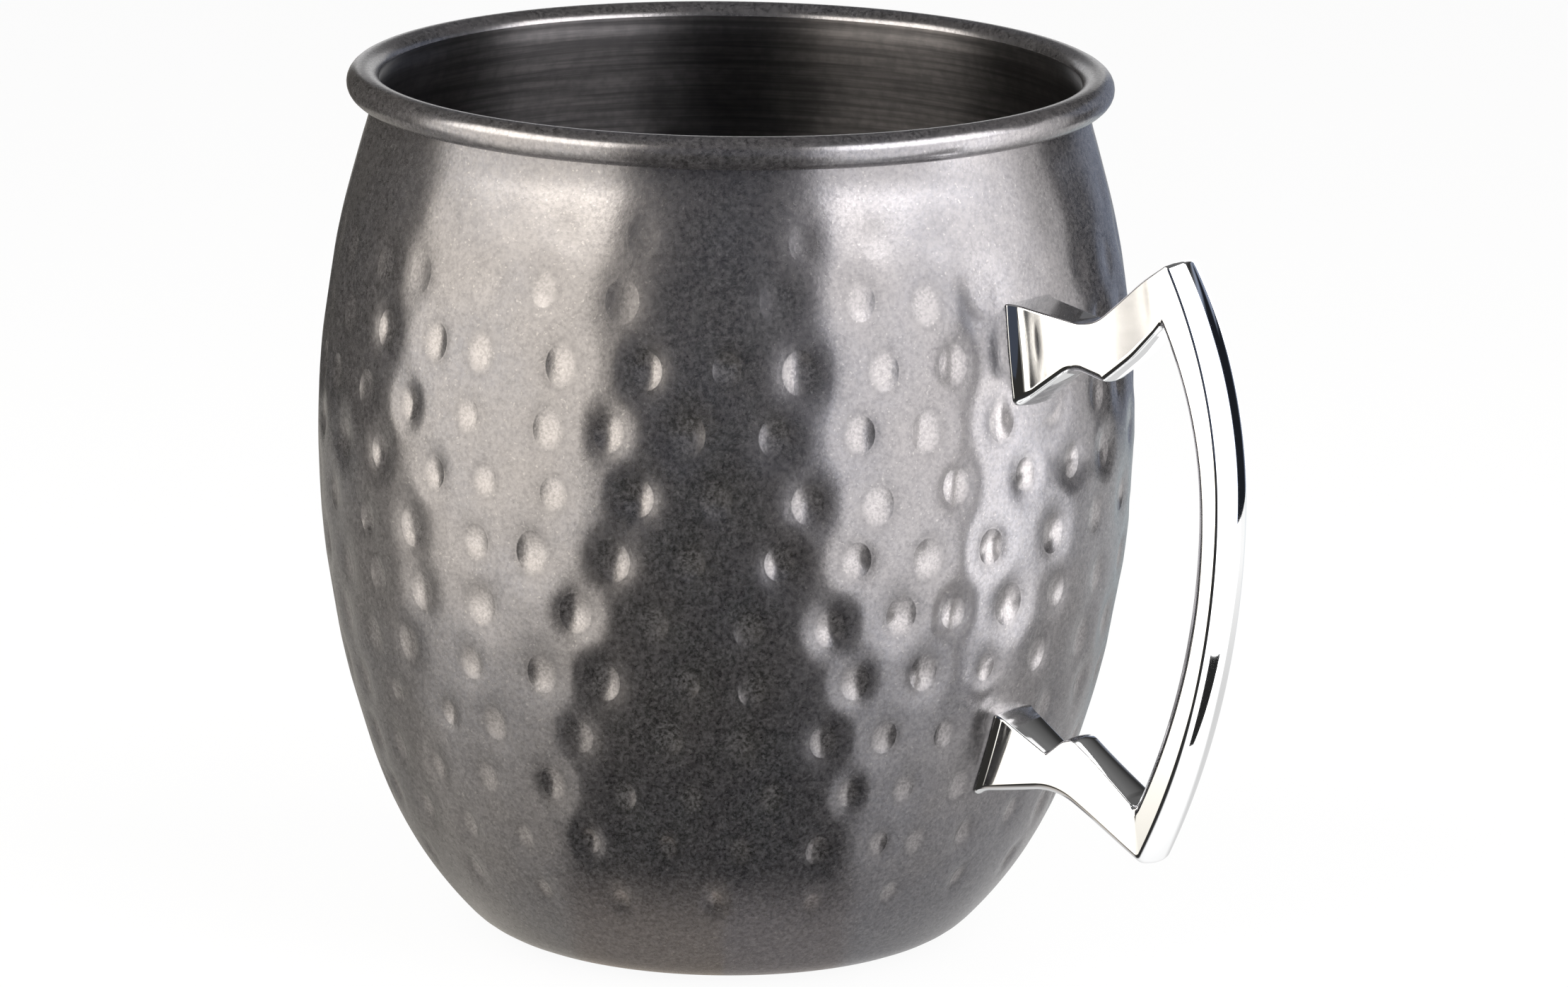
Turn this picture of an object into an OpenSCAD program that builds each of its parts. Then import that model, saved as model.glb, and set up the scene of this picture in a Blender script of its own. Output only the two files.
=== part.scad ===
// Mule mug: a drawn and hammered sheet steel cup with a rolled lip,
// and a cast loop handle held by two rivets.
// Millimetres, +Z up, origin at the centre of the base, handle towards +X.

/* [Cup] */
// Height from the table to the top of the rolled lip
cup_h = 100; // [85:0.5:120]
// Diameter over the rolled lip
lip_d = 87; // [80:0.5:91]
// Largest diameter of the belly
belly_d = 93.3; // [92:0.1:100]
// Height of the largest diameter
belly_z = 58.4; // [52:0.1:64]
// Radius of the hollow curve between the belly and the lip
neck_r = 17.7; // [10:0.1:30]
// Height at which the belly curve turns into the tighter heel curve
heel_z = 18.7; // [14:0.1:26]
// Radius of the heel curve
heel_r = 46; // [36:0.5:60]
// Radius of the corner between the heel and the flat base
corner_r = 9; // [5:0.1:13]
// Thickness of the sheet
sheet_t = 0.75; // [0.5:0.05:1.2]
// Diameter of the rolled bead at the lip
bead_d = 3.7; // [2.8:0.1:5]
// Gap between the rolled edge and the wall under the bead
curl_gap = 0.5; // [0.2:0.05:0.9]
// Width of the ring that the cup stands on
foot_ring_w = 5; // [2:0.1:9]
// Rise of the base panel inside that ring
base_rise = 1; // [0.4:0.1:2]

/* [Handle] */
// Thickness of the casting
handle_t = 5.3; // [4:0.1:8]
// Reach of the grip's outer edge past the belly
grip_reach = 27.35; // [24:0.05:36]
// Width of the grip's flat side at its outermost point
grip_w = 3.05; // [2.5:0.05:5]
// Height of the grip's outermost point
grip_z = 59.8; // [56:0.1:63]
// Crown of the grip's domed outer face
grip_crown = 0.8; // [0.4:0.05:1.4]
// Radius of the grip's outer edge above its outermost point
grip_upper_r = 51.5; // [48:0.5:62]
// Radius of the grip's outer edge below its outermost point
grip_lower_r = 88; // [80:0.5:100]
// Radius of the finger side above the outermost point
finger_upper_r = 39; // [36:0.5:46]
// Radius of the finger side below the outermost point
finger_lower_r = 77; // [70:0.5:90]
// Height of the upper foot's middle
upper_foot_z = 74.1; // [70:0.1:78]
// Width of the upper foot where it meets the wall
upper_foot_w = 8.2; // [6.5:0.1:9]
// Height of the lower foot's middle
lower_foot_z = 28.2; // [25:0.1:32]
// Width of the lower foot where it meets the wall
lower_foot_w = 8.7; // [6.5:0.1:9.5]
// Radius of the hollow flare at each foot
flare_r = 3; // [2:0.1:6]

/* [Rivets] */
// Diameter of the shank
rivet_d = 3; // [2:0.1:3.6]
// Length of the shank inside the handle's foot
rivet_grip = 5; // [3:0.1:6]
// Diameter of the head inside the cup
head_d = 7; // [5:0.1:9]
// Height of the domed head
head_h = 1.4; // [0.8:0.1:2.5]
// Clearance round the shank and past its end
rivet_clear = 0.1; // [0.05:0.01:0.2]

/* [Hidden] */
$fn = 128;

// Straight pieces in a rounded corner of the handle's outline
arc_steps = 8;
// Largest turn of one straight piece in the cup's curves, in degrees
curve_step = 3;
// Length by which roots and cuts run on past the wall
past = 6;
// Depth to which each flare starts inside the arm, so that the faces cross
bury = 0.1;
// Length along the wall of the block that each foot is cut from
foot_block = 30;

// Rolled bead: its middle, and the wall's outside where the bead begins
bead_r = bead_d / 2;
bead_x = lip_d / 2 - bead_r;
bead_z = cup_h - bead_r;
lip_wall_x = bead_x - bead_r + sheet_t;
curl_end = -acos((curl_gap - bead_r + sheet_t) / bead_r);

// Belly arc: widest at belly_z, tangent to the neck arc that stands upright at the bead
belly_x = belly_d / 2;
neck_rise = bead_z - belly_z;
belly_in = belly_x - lip_wall_x;
belly_r = (belly_in * belly_in + neck_rise * neck_rise) / (2 * belly_in) - neck_r;
belly_cx = belly_x - belly_r;
neck_cx = lip_wall_x + neck_r;
neck_tilt = asin(neck_rise / (belly_r + neck_r));

// Heel arc: tangent to the belly arc inside it, at heel_z
heel_tilt = asin((heel_z - belly_z) / belly_r);
heel_cx = belly_cx + (belly_r - heel_r) * cos(heel_tilt);
heel_cz = belly_z + (belly_r - heel_r) * sin(heel_tilt);

// Corner arc: tangent to the heel arc inside it and to the table
corner_tilt = asin((corner_r - heel_cz) / (heel_r - corner_r));
corner_cx = heel_cx + (heel_r - corner_r) * cos(corner_tilt);

// Base panel inside the standing ring, with a step at 45 degrees
panel_r = corner_cx - foot_ring_w;
step_shift = tan(22.5);

// Points along an arc after its first one
function arc(cx, cz, r, from, to) =
    let (steps = ceil(abs(to - from) / curve_step))
    [for (i = [1:steps])
        let (angle = from + (to - from) * i / steps)
        [cx + r * cos(angle), cz + r * sin(angle)]];

// A line that lies inset from the cup's outside, from the base's middle up to the bead's middle height
function wall_line(inset) =
    let (panel_edge = panel_r + inset * step_shift)
    concat(
        [[0, inset + base_rise]],
        [[panel_edge - base_rise, inset + base_rise]],
        [[panel_edge, inset]],
        [[corner_cx, inset]],
        arc(corner_cx, corner_r, corner_r - inset, -90, corner_tilt),
        arc(heel_cx, heel_cz, heel_r - inset, corner_tilt, heel_tilt),
        arc(belly_cx, belly_z, belly_r - inset, heel_tilt, neck_tilt),
        arc(neck_cx, bead_z, neck_r + inset, 180 + neck_tilt, 180)
    );

// The same line carried on round the rolled bead to the sheet's edge
function sheet_line(inset) = concat(
    wall_line(inset),
    arc(bead_x, bead_z, bead_r - sheet_t + inset, 180, curl_end)
);

// Point on the belly's outside at a height: radius, height, tilt of the outward normal
function wall_at(z) =
    let (tilt = asin((z - belly_z) / belly_r))
    [belly_cx + belly_r * cos(tilt), z, tilt];

// Handle: the grip's outermost points, and the radius of its domed outer face
grip_x = belly_x + grip_reach;
finger_x = grip_x - grip_w;
dome_r = (handle_t * handle_t / 4 + grip_crown * grip_crown) / (2 * grip_crown);

// Edges of the two arms from the wall outwards: distance past the belly,
// height over the foot's middle, corner radius. The grip's curves cut their far ends.
upper_top = [[-9, 6.7, 0], [8.4, 4.4, 6], [15.9, 10.8, 25], [30, 20.3, 0]];
upper_under = [[-9, -12.5, 0], [6.05, -0.5, 3], [10.4, -1.45, 0.5], [14.5, 1.8, 20], [28, 15.3, 0]];
lower_top = [[-13, 10, 0], [3.65, 1.1, 0.4], [6.6, 3.7, 2], [28, -10, 0]];
lower_under = [[-13, -6.4, 0], [4.9, -2.7, 9], [30, -14.4, 0]];

// Corner b between a and c, rounded at radius r
function unit(v) = v / norm(v);
function corner_arc(a, b, c, r) =
    let (u = unit(a - b))
    let (w = unit(c - b))
    let (half = acos(u * w) / 2)
    let (middle = b + unit(u + w) * r / sin(half))
    let (from = b + u * r / tan(half) - middle)
    let (to = b + w * r / tan(half) - middle)
    let (side = sign(cross(from, to)))
    let (start = atan2(from.y, from.x))
    [for (i = [0:arc_steps])
        let (angle = start + side * (180 - 2 * half) * i / arc_steps)
        middle + r * [cos(angle), sin(angle)]];

// An arm's edge in the handle's plane, with its corners rounded
function edge(list, foot_z) =
    let (p = [for (q = list) [belly_x + q[0], foot_z + q[1]]])
    [for (i = [0:len(list) - 1])
        each list[i][2] == 0 ? [p[i]] : corner_arc(p[i - 1], p[i], p[i + 1], list[i][2])];

function reversed(list) = [for (i = [len(list) - 1:-1:0]) list[i]];

// Everything inside a line that lies inset from the cup's outside
module cup_solid(inset) {
    rotate_extrude()
        polygon(concat(wall_line(inset), [[0, bead_z]]));
}

// Places children on the wall at a height, with their Z axis along its outward normal
module on_wall(z) {
    point = wall_at(z);
    translate([point[0], 0, point[1]])
        rotate([0, 90 - point[2], 0])
            children();
}

// Path of a rivet: its hole in the wall and in a foot
module rivet_hole(foot_z) {
    on_wall(foot_z)
        translate([0, 0, -past])
            cylinder(d = rivet_d + 2 * rivet_clear, h = past + rivet_grip + rivet_clear);
}

module cup_shell() {
    color("dimgray")
        difference() {
            rotate_extrude()
                polygon(concat(sheet_line(0), reversed(sheet_line(sheet_t))));
            rivet_hole(upper_foot_z);
            rivet_hole(lower_foot_z);
        }
}

// Quarter disc with a domed rim, upright in the handle's plane
module domed_quarter(r, thick, start) {
    dome_x = r + grip_crown - dome_r;
    translate([grip_x - r, 0, grip_z])
        rotate([90, 0, 0])
            rotate([0, 0, start])
                rotate_extrude(angle = 90)
                    intersection() {
                        translate([0, -thick / 2])
                            square([r + grip_crown, thick]);
                        union() {
                            translate([dome_x, 0])
                                circle(dome_r);
                            translate([0, -dome_r])
                                square([dome_x, 2 * dome_r]);
                        }
                    }
}

// Finger side of the grip, as the region inside its two arcs
module finger_discs() {
    intersection() {
        translate([finger_x - finger_upper_r, grip_z])
            circle(finger_upper_r);
        translate([0, grip_z])
            square([finger_x, finger_upper_r]);
    }
    intersection() {
        translate([finger_x - finger_lower_r, grip_z])
            circle(finger_lower_r);
        translate([0, grip_z - finger_lower_r])
            square([finger_x, finger_lower_r]);
    }
}

// Side outline of the arms and the grip, before the grip's outside is cut round
module handle_outline() {
    difference() {
        polygon(concat(edge(upper_top, upper_foot_z), reversed(edge(lower_under, lower_foot_z))));
        intersection() {
            finger_discs();
            polygon(concat(edge(upper_under, upper_foot_z), reversed(edge(lower_top, lower_foot_z))));
        }
    }
}

module upright(thick) {
    rotate([90, 0, 0])
        linear_extrude(height = thick, center = true)
            children();
}

// Block on the wall for a foot, flaring in hollow curves from the arm's thickness to the foot's width
module foot_flare(foot_z, foot_w) {
    flare_y = handle_t / 2 + flare_r - bury;
    flare = sqrt(flare_r * flare_r - pow(flare_y - foot_w / 2, 2));
    on_wall(foot_z)
        rotate([0, -90, 0])
            linear_extrude(height = foot_block, center = true)
                difference() {
                    translate([-past, -foot_w / 2])
                        square([past + flare, foot_w]);
                    for (side = [-1, 1])
                        translate([flare, side * flare_y])
                            circle(flare_r);
                }
}

module handle() {
    color("silver")
        difference() {
            union() {
                intersection() {
                    union() {
                        domed_quarter(grip_upper_r, handle_t, 0);
                        domed_quarter(grip_lower_r, handle_t, -90);
                    }
                    upright(2 * handle_t)
                        handle_outline();
                }
                intersection() {
                    upright(2 * handle_t)
                        handle_outline();
                    union() {
                        foot_flare(upper_foot_z, upper_foot_w);
                        foot_flare(lower_foot_z, lower_foot_w);
                    }
                }
            }
            cup_solid(0);
            rivet_hole(upper_foot_z);
            rivet_hole(lower_foot_z);
        }
}

// A rivet on the wall at a height: shank into the foot, domed head seated on the wall's inside
module rivet(foot_z) {
    color("gainsboro") {
        on_wall(foot_z)
            translate([0, 0, -sheet_t - head_h / 2])
                cylinder(d = rivet_d, h = sheet_t + head_h / 2 + rivet_grip);
        intersection() {
            on_wall(foot_z)
                translate([0, 0, -sheet_t - head_h])
                    rotate_extrude()
                        intersection() {
                            head_r = (head_d * head_d / 4 + head_h * head_h) / (2 * head_h);
                            translate([0, head_r])
                                circle(head_r);
                            square([head_d / 2, head_h + sheet_t]);
                        }
            cup_solid(sheet_t);
        }
    }
}

module upper_rivet() {
    rivet(upper_foot_z);
}

module lower_rivet() {
    rivet(lower_foot_z);
}

cup_shell();
handle();
upper_rivet();
lower_rivet();
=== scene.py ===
"""A mule mug: a hammered gunmetal cup with a rolled lip and a cast chrome handle, on a pale floor."""

import bpy
import numpy as np
from mathutils import Euler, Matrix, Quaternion, Vector


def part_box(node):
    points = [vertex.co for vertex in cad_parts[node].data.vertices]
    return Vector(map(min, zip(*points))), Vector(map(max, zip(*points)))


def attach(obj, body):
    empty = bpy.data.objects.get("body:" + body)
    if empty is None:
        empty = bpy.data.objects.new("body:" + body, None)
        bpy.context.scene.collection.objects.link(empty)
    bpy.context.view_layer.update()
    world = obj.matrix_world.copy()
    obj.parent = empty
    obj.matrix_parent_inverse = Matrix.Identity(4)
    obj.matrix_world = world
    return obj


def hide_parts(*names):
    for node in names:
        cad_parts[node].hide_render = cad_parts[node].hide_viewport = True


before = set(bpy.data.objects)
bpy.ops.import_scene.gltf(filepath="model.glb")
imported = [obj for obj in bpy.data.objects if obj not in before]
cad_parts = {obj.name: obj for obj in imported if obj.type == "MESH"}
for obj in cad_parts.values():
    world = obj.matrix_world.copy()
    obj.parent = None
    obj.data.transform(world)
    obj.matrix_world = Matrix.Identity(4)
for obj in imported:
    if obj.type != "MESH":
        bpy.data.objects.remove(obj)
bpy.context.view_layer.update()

# Cup shell
# One sheet of stainless steel, drawn to a barrel and rolled outwards at the lip into a hollow bead.
# Its wall is hammered in staggered rows of round marks, plated dark and rubbed back to gunmetal.
MM = 0.001  # sizes are in millimetres, meshes in metres
_, cup_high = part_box("cup_shell")
CUP_H = cup_high.z / MM
BELLY_X = cup_high.x / MM
BELLY_Z = 58.4
LIP_X = 43.5
BEAD_R = 1.85
SHEET_T = 0.75
CURL_END = np.radians(-109)  # angle round the bead where the curl stops
SPUN_FROM = np.radians(158)  # angle round the bead where the outside's finish ends
NECK_R = 17.7
HEEL_Z = 18.7
HEEL_R = 46
CORNER_R = 9
FOOT_RING_W = 5
BASE_RISE = 1

bead_x = LIP_X - BEAD_R
bead_z = CUP_H - BEAD_R
lip_wall_x = bead_x - BEAD_R + SHEET_T
belly_in = BELLY_X - lip_wall_x
neck_rise = bead_z - BELLY_Z
belly_r = (belly_in**2 + neck_rise**2) / (2 * belly_in) - NECK_R
belly_cx = BELLY_X - belly_r
neck_cx = lip_wall_x + NECK_R
neck_tilt = np.arcsin(neck_rise / (belly_r + NECK_R))
heel_tilt = np.arcsin((HEEL_Z - BELLY_Z) / belly_r)
heel_cx = belly_cx + (belly_r - HEEL_R) * np.cos(heel_tilt)
heel_cz = BELLY_Z + (belly_r - HEEL_R) * np.sin(heel_tilt)
corner_tilt = np.arcsin((CORNER_R - heel_cz) / (HEEL_R - CORNER_R))
corner_cx = heel_cx + (HEEL_R - CORNER_R) * np.cos(corner_tilt)

MARK_ROWS = 12
MARK_FIRST_S = -48.0  # along the wall from its widest line
MARK_ROW_STEP = 7.13
MARKS_ROUND = 32
LOWEST_MARKS_ROUND = 22
ODD_ROW_TURN = np.radians(-3.8)
EVEN_ROW_TURN = np.radians(3.65)
MARK_TALL = 1.25  # height of a mark over its width
MARK_DEEP = 0.165  # depth of a full mark's own dent
MARK_RIM = 0.3  # softness of a mark's rim in the mesh
SHARP_RIM = 0.05  # and in the finish
SKIRT_R = 2.4  # radius of the dip round each mark, over the mark's own
SKIRT_SHARE = 1.95  # depth of that dip, over the mark's own
MARK_WANDER = np.radians(0.8)
MARK_DRIFT = 0.35
FRONT_TURN = np.radians(-48)
SLIP = np.radians(3.8)  # the lower odd rows ran ahead by this much over part of the front
SLIP_MIDDLE = np.radians(-46)
SLIP_SPAN = np.radians(27)
FOOT_HEIGHTS = (74.1, 28.2)
FOOT_CLEAR = (5.2, 8.5)  # half width and half height round each foot that the hammer left alone
MARK_R = ([0, 4, 9, 11], [1.3, 1.75, 1.8, 2])  # rows, and half the width of their marks
ROW_DEPTH = ([0, 4, 9, 10, 11], [1, 1.1, 1, 0.5, 0.2])  # rows, and their depth over a full mark's
MARK_R_VARIES = 0.08
MARK_DEPTH_VARIES = 0.18
NO_MARK = 1.6  # distance from a mark's middle, over its radius, past which none is near
BACK_SPREAD = 1.12  # size of a mark's back inside the cup, over the mark's own
COLUMNS = 400
CROWDING = 0.33  # how much closer the columns stand round the front
OUTSIDE_STEP = 0.64  # lengths of the faces along the section: hammered wall, then its plain ends
OUTSIDE_PLAIN_STEP = 1.2
INSIDE_STEP = 2.2
INSIDE_PLAIN_STEP = 2.4
HOLLOW_STEP = 0.8
BEAD_STEP = 0.45
WARM_PLATE = (0.186, 0.177, 0.18, 1)
COOL_PLATE = (0.172, 0.169, 0.182, 1)
# painted shade for the dip round each mark
DIP_SHADE_PLATE = (0.11, 0.105, 0.107, 1)
# lighter plate for each mark's middle: partly the burnish, partly a painted highlight
BURNISH_SHEEN_PLATE = (0.31, 0.294, 0.296, 1)
DARK_SAND = (0.1, 0.0965, 0.1, 1)
PALE_MOTTLE = (0.3, 0.284, 0.282, 1)
PALE_SPECK = (0.45, 0.43, 0.41, 1)
# the inside's colours are darker than the outside's plate: painted shade for the inside of the cup
SPUN_DARK = (0.063, 0.06, 0.062, 1)
SPUN_PALE = (0.118, 0.111, 0.113, 1)
SPUN_MOTTLE = (0.05, 0.049, 0.052, 1)
SAND_BUMP = 0.007  # heights of the grain, of the mottle and of the spun rings
MOTTLE_BUMP = 0.007
RING_BUMP = 0.024


def arc(cx, cz, radius, start, stop, step):
    """Points round a centre from one angle to another, no further apart than a step, with the angles."""
    count = int(np.ceil(abs(stop - start) * abs(radius) / step)) + 1
    angle = np.linspace(start, stop, count)
    return np.stack([cx + radius * np.cos(angle), cz + radius * np.sin(angle), angle], axis=1)


def wall_line(inset, step, plain_step):
    """The wall from the flat base up to the bead, set in from the cup's outside: corner, heel, belly and
    neck arcs. Columns are radius, height, tilt of the outward normal, and distance from the widest line."""
    corner = arc(corner_cx, CORNER_R, CORNER_R - inset, -np.pi / 2, corner_tilt, plain_step)
    heel = arc(heel_cx, heel_cz, HEEL_R - inset, corner_tilt, heel_tilt, step)
    belly = arc(belly_cx, BELLY_Z, belly_r - inset, heel_tilt, neck_tilt, step)
    neck = arc(neck_cx, bead_z, NECK_R + inset, np.pi + neck_tilt, np.pi, plain_step)
    neck[:, 2] -= np.pi
    heel_start = belly_r * heel_tilt
    along = [
        heel_start + HEEL_R * (corner[:, 2] - heel_tilt),
        heel_start + HEEL_R * (heel[:, 2] - heel_tilt),
        belly_r * belly[:, 2],
        belly_r * neck_tilt + NECK_R * (neck_tilt - neck[:, 2]),
    ]
    arcs = [np.column_stack([a, s])[1:] for a, s in zip([corner, heel, belly, neck], along)]
    return np.concatenate(arcs)


def hammer_marks(turn, s, spread):
    """Depth of the hammer marks at angles round the cup and distances along its wall, the distance to the
    nearest mark's middle over its radius, and that mark's strength near it. A mark is a ball's dent, its
    depth times one less the square of that distance, in a wide dip that falls as one plus a cosine."""
    dice = np.random.default_rng(5)
    shape = np.broadcast_shapes(turn.shape, s.shape)
    depth = np.zeros(shape)
    strength = np.zeros(shape)
    least = np.full(shape, NO_MARK)
    for row in range(MARK_ROWS):
        count = MARKS_ROUND if row else LOWEST_MARKS_ROUND
        pitch = 2 * np.pi / count
        phase = (ODD_ROW_TURN if row % 2 else EVEN_ROW_TURN) if row else 0
        radius = np.interp(row, *MARK_R) * dice.normal(1, MARK_R_VARIES, count) * spread
        deep = np.interp(row, *ROW_DEPTH) * dice.normal(1, MARK_DEPTH_VARIES, count)
        middle = phase + pitch * np.arange(count)
        middle = (middle + np.pi) % (2 * np.pi) - np.pi
        slip = SLIP * np.exp(-(((middle - SLIP_MIDDLE) / SLIP_SPAN) ** 4)) * (row % 2) * (row < 6)
        wander = slip + dice.normal(0, MARK_WANDER, count)
        drift = dice.normal(0, MARK_DRIFT, count)
        for step in (-1, 0, 1):
            nearest = np.rint((turn - phase) / pitch) + step
            i = nearest.astype(int) % count
            across = (turn - phase - nearest * pitch - wander[i]) * BELLY_X / radius[i]
            up = (s - MARK_FIRST_S - MARK_ROW_STEP * row - drift[i]) / (MARK_TALL * radius[i])
            away = np.hypot(across, up)
            inner = 1 - away**2
            skirt = SKIRT_SHARE * (1 + np.cos(np.pi * np.minimum(away / SKIRT_R, 1))) / 2
            depth += MARK_DEEP * deep[i] * ((inner + np.sqrt(inner**2 + MARK_RIM**2)) / 2 + skirt)
            strength = np.where(away < least, deep[i], strength)
            least = np.minimum(away, least)
    for height in FOOT_HEIGHTS:
        foot_s = belly_r * np.arcsin((height - BELLY_Z) / belly_r)
        away = (turn * BELLY_X / FOOT_CLEAR[0]) ** 4 + ((s - foot_s) / FOOT_CLEAR[1]) ** 4
        clear = 1 - np.exp(-(away**2))
        depth *= clear
        strength *= clear
    return depth, least, strength


def closed_skin(name, start, rings, end):
    """A closed mesh from rings of points, row after row, with a fan of triangles to a point at each end."""
    rows, cols = rings.shape[:2]
    points = np.concatenate([[start], rings.reshape(-1, 3), [end]]) * MM
    ring = 1 + np.arange(rows * cols).reshape(rows, cols)
    turned = np.roll(ring, -1, axis=1)
    quads = np.stack([ring[:-1], turned[:-1], turned[1:], ring[1:]], axis=-1).reshape(-1, 4)
    first = np.stack([np.zeros(cols, int), turned[0], ring[0]], axis=-1)
    last = np.stack([np.full(cols, len(points) - 1), ring[-1], turned[-1]], axis=-1)
    fans = np.concatenate([first, last])
    corners = np.concatenate([quads.ravel(), fans.ravel()])
    sizes = np.concatenate([np.full(len(quads), 4), np.full(len(fans), 3)])
    a, b, c, d = (points[quads[:, i]] for i in range(4))
    volume = np.einsum("ij,ij->", a, np.cross(b, c)) + np.einsum("ij,ij->", a, np.cross(c, d))
    starts = np.concatenate([[0], np.cumsum(sizes)[:-1]])
    if volume < 0:
        corners = np.concatenate([quads[:, ::-1].ravel(), fans[:, ::-1].ravel()])
    mesh = bpy.data.meshes.new(name)
    mesh.vertices.add(len(points))
    mesh.vertices.foreach_set("co", points.ravel())
    mesh.loops.add(len(corners))
    mesh.loops.foreach_set("vertex_index", corners.astype(np.int32))
    mesh.polygons.add(len(sizes))
    mesh.polygons.foreach_set("loop_start", starts.astype(np.int32))
    mesh.update(calc_edges=True)
    mesh.shade_smooth()
    piece = bpy.data.objects.new(name, mesh)
    bpy.context.scene.collection.objects.link(piece)
    return piece


def cup_mesh():
    """The sheet's section turned about the axis: outside from the base's middle up, hollow of the curl,
    bead, inside down again. The marks push both faces of the wall in along its normal. The columns stand
    closer together round the front."""
    share = np.linspace(-np.pi, np.pi, COLUMNS, endpoint=False)[None, :]
    turn = FRONT_TURN + share - CROWDING * np.sin(share)
    panel_x = corner_cx - FOOT_RING_W
    outer = wall_line(0, OUTSIDE_STEP, OUTSIDE_PLAIN_STEP)
    inner = wall_line(SHEET_T, INSIDE_STEP, INSIDE_PLAIN_STEP)[::-1]
    hollow = arc(bead_x, bead_z, BEAD_R - SHEET_T, np.pi, CURL_END, HOLLOW_STEP)[1:]
    bead = arc(bead_x, bead_z, BEAD_R, CURL_END, np.pi, BEAD_STEP)
    slope_x = panel_x - BASE_RISE
    base = np.array([[panel_x / 2, BASE_RISE], [slope_x, BASE_RISE], [panel_x, 0], [corner_cx, 0]])
    floor = base[::-1] + [0, SHEET_T]
    out_marks = hammer_marks(turn, outer[:, 3:], 1.0)
    in_depth = hammer_marks(turn, inner[:, 3:], BACK_SPREAD)[0]
    plain = (0, NO_MARK, 0)
    parts = [
        (base, plain),
        (outer, out_marks),
        (hollow, plain),
        (bead, plain),
        (inner, (in_depth, NO_MARK, 0)),
        (floor, plain),
    ]
    rings = []
    fields = {"mark_away": [], "mark_strength": []}
    for line, marks in parts:
        depth = np.zeros((len(line), turn.size)) + marks[0]
        tilt = line[:, 2:3] if line.shape[1] > 2 else np.zeros((len(line), 1))
        x = line[:, :1] - depth * np.cos(tilt)
        z = line[:, 1:2] - depth * np.sin(tilt)
        rings.append(np.stack([x * np.cos(turn), x * np.sin(turn), z], axis=-1))
        for field, values in zip(fields.values(), marks[1:]):
            field.append(np.zeros(depth.shape) + values)
    rings = np.concatenate(rings)
    piece = closed_skin("cup", (0, 0, BASE_RISE), rings, (0, 0, BASE_RISE + SHEET_T))
    spun_from = len(base) + len(outer) + len(hollow) + np.searchsorted(bead[:, 2], SPUN_FROM)
    spun = np.repeat(np.arange(len(rings) - 1) >= spun_from, turn.size)
    finish = np.concatenate([spun, np.zeros(turn.size), np.ones(turn.size)])
    piece.data.polygons.foreach_set("material_index", finish.astype(np.int32))
    for name, field in fields.items():
        values = np.pad(np.concatenate(field).ravel(), 1, mode="edge")
        attribute = piece.data.attributes.new(name, "FLOAT", "POINT")
        attribute.data.foreach_set("value", values.astype(np.float32))
    return piece


class Value:
    """A socket that does sums: arithmetic on it adds Math nodes, and node() adds any other node."""

    def __init__(self, tree, socket=None):
        self.tree = tree
        self.socket = socket

    def node(self, kind, settings=None, inputs=None, output=0):
        """Adds a node, first its settings and then the values or links of its sockets."""
        made = self.tree.nodes.new(kind)
        for name, value in (settings or {}).items():
            setattr(made, name, value)
        for key, value in (inputs or {}).items():
            if isinstance(value, Value):
                self.tree.links.new(value.socket, made.inputs[key])
            else:
                made.inputs[key].default_value = value
        return Value(self.tree, made.outputs[output] if made.outputs else None)

    def math(self, operation, other=0.0):
        """Adds a Math node on this value and another."""
        return self.node("ShaderNodeMath", {"operation": operation}, {0: self, 1: other})

    def __add__(self, other):
        return self.math("ADD", other)

    def __sub__(self, other):
        return self.math("SUBTRACT", other)

    def __rsub__(self, other):
        return self * -1 + other

    def __mul__(self, other):
        return self.math("MULTIPLY", other)

    __radd__ = __add__
    __rmul__ = __mul__


def new_material(name):
    """A material with an empty tree, and the value that its nodes start from."""
    material = bpy.data.materials.new(name)
    material.use_nodes = True
    material.node_tree.nodes.clear()
    return material, Value(material.node_tree)


def noise(place, scale, detail, roughness=0.5):
    """Even noise at so many lumps a metre."""
    return place.node(
        "ShaderNodeTexNoise",
        None,
        {"Vector": place, "Scale": scale, "Detail": detail, "Roughness": roughness},
    )


def stretch(value, low, high, to_low, to_high):
    """A value between two limits, eased to run between two others."""
    return value.node(
        "ShaderNodeMapRange",
        {"interpolation_type": "SMOOTHSTEP"},
        {"Value": value, "From Min": low, "From Max": high, "To Min": to_low, "To Max": to_high},
    )


def tint(share, colour, other):
    """One colour, turning into another by a share."""
    return share.node("ShaderNodeMix", {"data_type": "RGBA"}, {0: share, 6: colour, 7: other}, output=2)


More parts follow.
